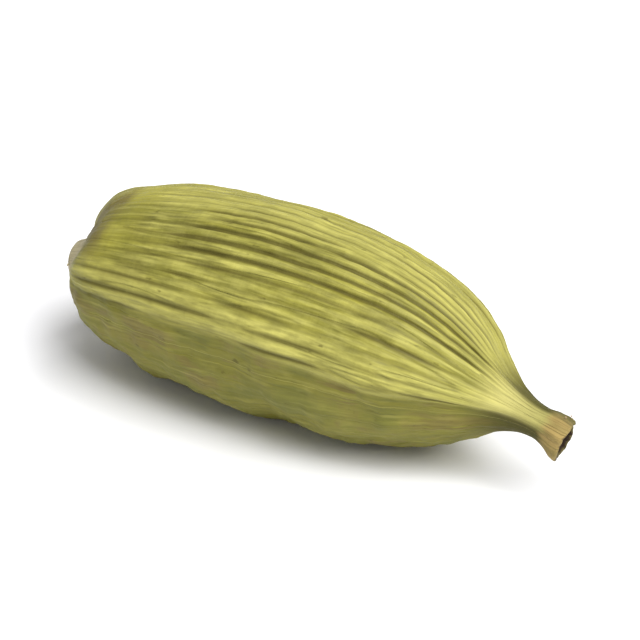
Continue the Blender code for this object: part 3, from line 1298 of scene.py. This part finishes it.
    def _rim_side(self, skin: GeometryTree, along: Link, angle: Link, side: float) -> bpy.types.Node:
        """How far a side of the collar's rim moves one way, and the side across from it the other way.

        Args:
            skin: the skin's tree.
            along: the share of the pod's length.
            angle: the angle round the pod.
            side: the angle of the side that goes the whole way.

        Returns:
            The node that gives the share, from -1 to 1.
        """
        turn = skin.add("SUBTRACT", (angle, side))
        towards = skin.add("COSINE", (turn,))
        return skin.add("MULTIPLY", (self._rim(skin, along), towards))

    def _torn_rim(self, skin: GeometryTree, grain: Link, along: Link) -> bpy.types.Node:
        """How far the collar's torn rim is worn back towards the stalk.

        Args:
            skin: the skin's tree.
            grain: the place on the skin, in millimetres.
            along: the share of the pod's length.

        Returns:
            The node that gives the distance, in metres.
        """
        given = skin.given
        tears = add_grain(skin.tree, grain, 4.0, 3.0, given["Seed"])
        tears = skin.add(MAP, (tears, 0.35, 0.65, 0.0, 1.0))
        torn = skin.add("MULTIPLY", (tears, self._rim(skin, along)))
        return skin.add("MULTIPLY", (torn, given["Rim Raggedness"]))

    def build(self) -> tuple[bpy.types.Object, Seat]:
        """Build the husk in its seat and dress it.

        Returns:
            The husk's object, and the seat that the other pieces take too.
        """
        mesh = self.skin()
        seat = Seat.under(mesh, "pod")
        seat.apply(mesh)
        husk = new_piece("husk_skin", mesh)
        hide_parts("pod")
        return husk, seat


@dataclass
class Fringe:
    """A ring of torn fibres at one end of the pod, sunk into the skin that they tore from."""

    form: PodForm
    bend: bpy.types.NodeTree
    finish: DryFibre
    end: PodEnd
    count: int
    ring_distance: float
    ring_radius: float
    length: float
    thickness: float
    lean: float
    curl: float = 0.35
    flatness: float = 0.45
    seed: int = 5

    def fibres(self) -> bpy.types.Mesh:
        """Grow the ring of fibres.

        Returns:
            The fibres as one plain mesh, not yet in its seat.
        """
        finish = self.finish.material(f"dry_{self.end.value}_fibre")
        sizes = named_inputs(self, "count ring_distance ring_radius length thickness lean curl seed")
        sizes = {**sizes, **self.form.axis_sizes(), "Finish": finish}
        ring = GeometryTree(f"{self.end.value}_fringe", sizes)
        given = ring.given
        number = ring.add("GeometryNodeInputIndex")
        turn = ring.add("DIVIDE", (number, given["Count"]))
        jitter = ring.add("FunctionNodeRandomValue", {"Min": -0.4, "Max": 0.4, "Seed": given["Seed"]})
        jitter = ring.add("DIVIDE", (jitter, given["Count"]))
        turn = ring.add("ADD", (turn, jitter))
        angle = ring.add("MULTIPLY", (turn, math.tau))
        root = ring.round_the_axis(given["Ring Distance"], angle, given["Ring Radius"])
        points = ring.add("GeometryNodePoints", (given["Count"], root))

        # Each fibre leans outwards, turned and scaled a little by chance
        forwards = ring.add("TANGENT", (given["Lean"],))
        heading = {"Vector": ring.round_the_axis(forwards, angle, 1.0)}
        facing = ring.add("FunctionNodeAlignRotationToVector", heading, axis="Z", pivot_axis="AUTO")
        rolls = {"Min": (-0.3, -0.3, -1.2), "Max": (0.3, 0.3, 1.2), "Seed": given["Seed"]}
        roll = ring.add("FunctionNodeRandomValue", rolls, data_type="FLOAT_VECTOR")
        roll = ring.add("FunctionNodeEulerToRotation", (roll,))
        facing = ring.add("FunctionNodeRotateRotation", (facing, roll), rotation_space="LOCAL")
        size = ring.add("FunctionNodeRandomValue", {"Min": 0.55, "Max": 1.15, "Seed": given["Seed"]})
        copies = {"Points": points, "Instance": self._fibre(ring), "Rotation": facing, "Scale": size}
        placed = ring.add("GeometryNodeInstanceOnPoints", copies)
        real = ring.add("GeometryNodeRealizeInstances", (placed,))
        ring.close_piece(real, self.form, self.bend)
        start = bpy.data.objects.new("fringe_start", bpy.data.meshes.new("fringe_start"))
        bpy.context.scene.collection.objects.link(start)
        return ring.mesh_from(start)

    def _fibre(self, ring: GeometryTree) -> bpy.types.Node:
        """Grow one flat, curled and tapering fibre, along +Z from its root.

        Args:
            ring: the fringe's tree.

        Returns:
            The node that gives the fibre.
        """
        given = ring.given
        curled = ring.add("MULTIPLY", (given["Curl"], given["Length"]))
        midway = ring.add("MULTIPLY", (given["Length"], 0.55))
        middle = ring.add("ShaderNodeCombineXYZ", (0.0, 0.0, midway))
        tip = ring.add("ShaderNodeCombineXYZ", (curled, 0.0, given["Length"]))
        spine = ring.add("GeometryNodeCurveQuadraticBezier", (5, (0.0, 0.0, 0.0), middle, tip))
        share = ring.add("GeometryNodeSplineParameter").outputs["Factor"]
        taper = ring.add(MAP, (share, 0.0, 1.0, 1.0, 0.25))
        thickness = ring.add("MULTIPLY", (taper, given["Thickness"]))
        section = ring.add("GeometryNodeCurvePrimitiveCircle", (6, 1.0), mode="RADIUS")
        section = ring.add("GeometryNodeTransform", {"Geometry": section, "Scale": (self.flatness, 1.0, 1.0)})
        return ring.add("GeometryNodeCurveToMesh", (spine, section, thickness, True))

    def build(self, seat: Seat) -> bpy.types.Object:
        """Build the fringe in its seat and dress it.

        Args:
            seat: the husk's seat.

        Returns:
            The fringe's object.
        """
        mesh = self.fibres()
        seat.apply(mesh)
        return new_piece(f"{self.end.value}_fringe", mesh)


@dataclass(frozen=True)
class WhiteCard:
    """The studio's sweep of matt white card, which throws soft light back up at the pod."""

    white: str = "#F4F4F6"
    cloud_size: float = 8.0 * MM
    roughness: float = 0.7
    specular: float = 0.2

    def material(self) -> bpy.types.Material:
        """Build the card's material, with the faint clouding of its paper fibre.

        Returns:
            The material.
        """
        material, tree, shader = new_material("matt_white_card")
        colour = add_shade(tree, linear(self.white), add_patches(tree, self.cloud_size, 3.0), 0.97, 1.0)
        tree.links.new(colour.outputs[2], shader.inputs["Base Color"])
        shader.inputs["Roughness"].default_value = self.roughness
        shader.inputs["Specular IOR Level"].default_value = self.specular
        return material


def direction(azimuth: float, elevation: float) -> Vector:
    """The direction from the pod to a viewer or a light.

    Args:
        azimuth: degrees round the pod; 0 is at -Y, and 90 at +X.
        elevation: degrees above the floor.

    Returns:
        A vector of length 1.
    """
    turn, rise = math.radians(azimuth), math.radians(elevation)
    return Vector((math.sin(turn) * math.cos(rise), -math.cos(turn) * math.cos(rise), math.sin(rise)))


@dataclass(frozen=True)
class Softbox:
    """One square soft light that points at the pod from a direction given in degrees."""

    name: str
    azimuth: float
    elevation: float
    distance: float
    size: float
    watts: float

    def build(self) -> None:
        """Hang the light and point it at the origin."""
        light = bpy.data.lights.new(self.name, "AREA")
        light.shape = "SQUARE"
        light.size = self.size
        light.energy = self.watts
        box = bpy.data.objects.new(self.name, light)
        towards = direction(self.azimuth, self.elevation)
        box.location = towards * self.distance
        box.rotation_euler = (-towards).to_track_quat("-Z", "Y").to_euler()
        bpy.context.scene.collection.objects.link(box)


@dataclass
class Studio:
    """A plain pale floor, soft light from above, and the camera at the photograph's viewing angle.

    The camera's azimuth and elevation are in degrees, as a softbox's are.
    """

    azimuth: float = 31.0
    elevation: float = 32.0
    distance: float = 350.0 * MM
    frame_width: float = 21.79 * MM
    aim: Place = (-1.00 * MM, 1.46 * MM, 2.82 * MM)
    sensor_mm: float = 36.0
    floor_side: float = 4.0
    card: WhiteCard = WhiteCard()
    sky: str = "#F7F7F8"
    sky_strength: float = 0.45
    key: Softbox = Softbox("key_softbox", 76.0, 60.0, distance=0.50, size=0.45, watts=4.6)

    def build(self) -> None:
        """Build the floor, the lights, the sky and the camera."""
        self._lay_floor()
        self.key.build()
        self._light_sky()
        self._place_camera()

    def _lay_floor(self) -> None:
        """Lay the card that the pod rests on."""
        reach = self.floor_side / 2.0
        mesh = bpy.data.meshes.new("white_card_floor")
        corners = [(x * reach, y * reach, 0.0) for x, y in ((-1, -1), (1, -1), (1, 1), (-1, 1))]
        mesh.from_pydata(corners, [], [(0, 1, 2, 3)])
        mesh.materials.append(self.card.material())
        floor = bpy.data.objects.new("white_card_floor", mesh)
        bpy.context.scene.collection.objects.link(floor)

    def _light_sky(self) -> None:
        """Fill the studio with even, slightly cool light."""
        world = bpy.data.worlds.new("pale_studio")
        world.use_nodes = True
        sky = world.node_tree.nodes["Background"]
        sky.inputs["Color"].default_value = linear(self.sky)
        sky.inputs["Strength"].default_value = self.sky_strength
        bpy.context.scene.world = world
        bpy.context.scene.view_settings.view_transform = "Standard"

    def _place_camera(self) -> None:
        """Put the camera on its line of sight, with a long lens that frames the pod."""
        lens = bpy.data.cameras.new("long_lens")
        lens.sensor_width = self.sensor_mm
        lens.lens = self.sensor_mm * self.distance / self.frame_width
        lens.clip_start = self.distance / 10.0
        lens.clip_end = self.floor_side * 2.0
        camera = bpy.data.objects.new("long_lens", lens)
        towards = direction(self.azimuth, self.elevation)
        camera.location = Vector(self.aim) + towards * self.distance
        camera.rotation_euler = (-towards).to_track_quat("-Z", "Y").to_euler()
        bpy.context.scene.collection.objects.link(camera)
        bpy.context.scene.camera = camera


def clear_startup() -> None:
    """Remove what Blender's startup file holds, and keep the frame."""
    kept = {*frame["bodies"].values(), *frame["nodes"].values()}
    for obj in [obj for obj in bpy.data.objects if obj not in kept]:
        bpy.data.objects.remove(obj)


def report(piece: bpy.types.Object) -> None:
    """Log a piece's name and how fine its mesh is."""
    triangles = sum(len(face.vertices) - 2 for face in piece.data.polygons)
    LOG.info("%s: %d points, %d triangles", piece.name, len(piece.data.vertices), triangles)


def main() -> None:
    """Build the husk, its two fringes and the studio, and report each piece."""
    logging.basicConfig(level=logging.INFO, format="%(name)s: %(message)s")
    clear_startup()
    form = PodForm()
    bend = bend_over_axis(form)
    husk, seat = Husk(form, bend, DriedHusk()).build()
    report(husk)
    scar = Fringe(
        form,
        bend,
        DryFibre(pale="#B3AA8A", brown="#84734A"),
        PodEnd.STALK,
        count=34,
        ring_distance=0.10 * MM,
        ring_radius=0.62 * MM,
        length=0.15 * MM,
        thickness=0.055 * MM,
        lean=math.radians(12.0),
        seed=5,
    )
    collar = Fringe(
        form,
        bend,
        DryFibre(pale="#A7906F", brown="#725536"),
        PodEnd.BEAK,
        count=9,
        ring_distance=form.length - 0.30 * MM,
        ring_radius=0.68 * MM,
        length=0.05 * MM,
        thickness=0.045 * MM,
        lean=math.radians(40.0),
        seed=9,
    )
    for fringe in (scar, collar):
        report(fringe.build(seat))
    Studio().build()


if __name__ == "__main__":
    main()
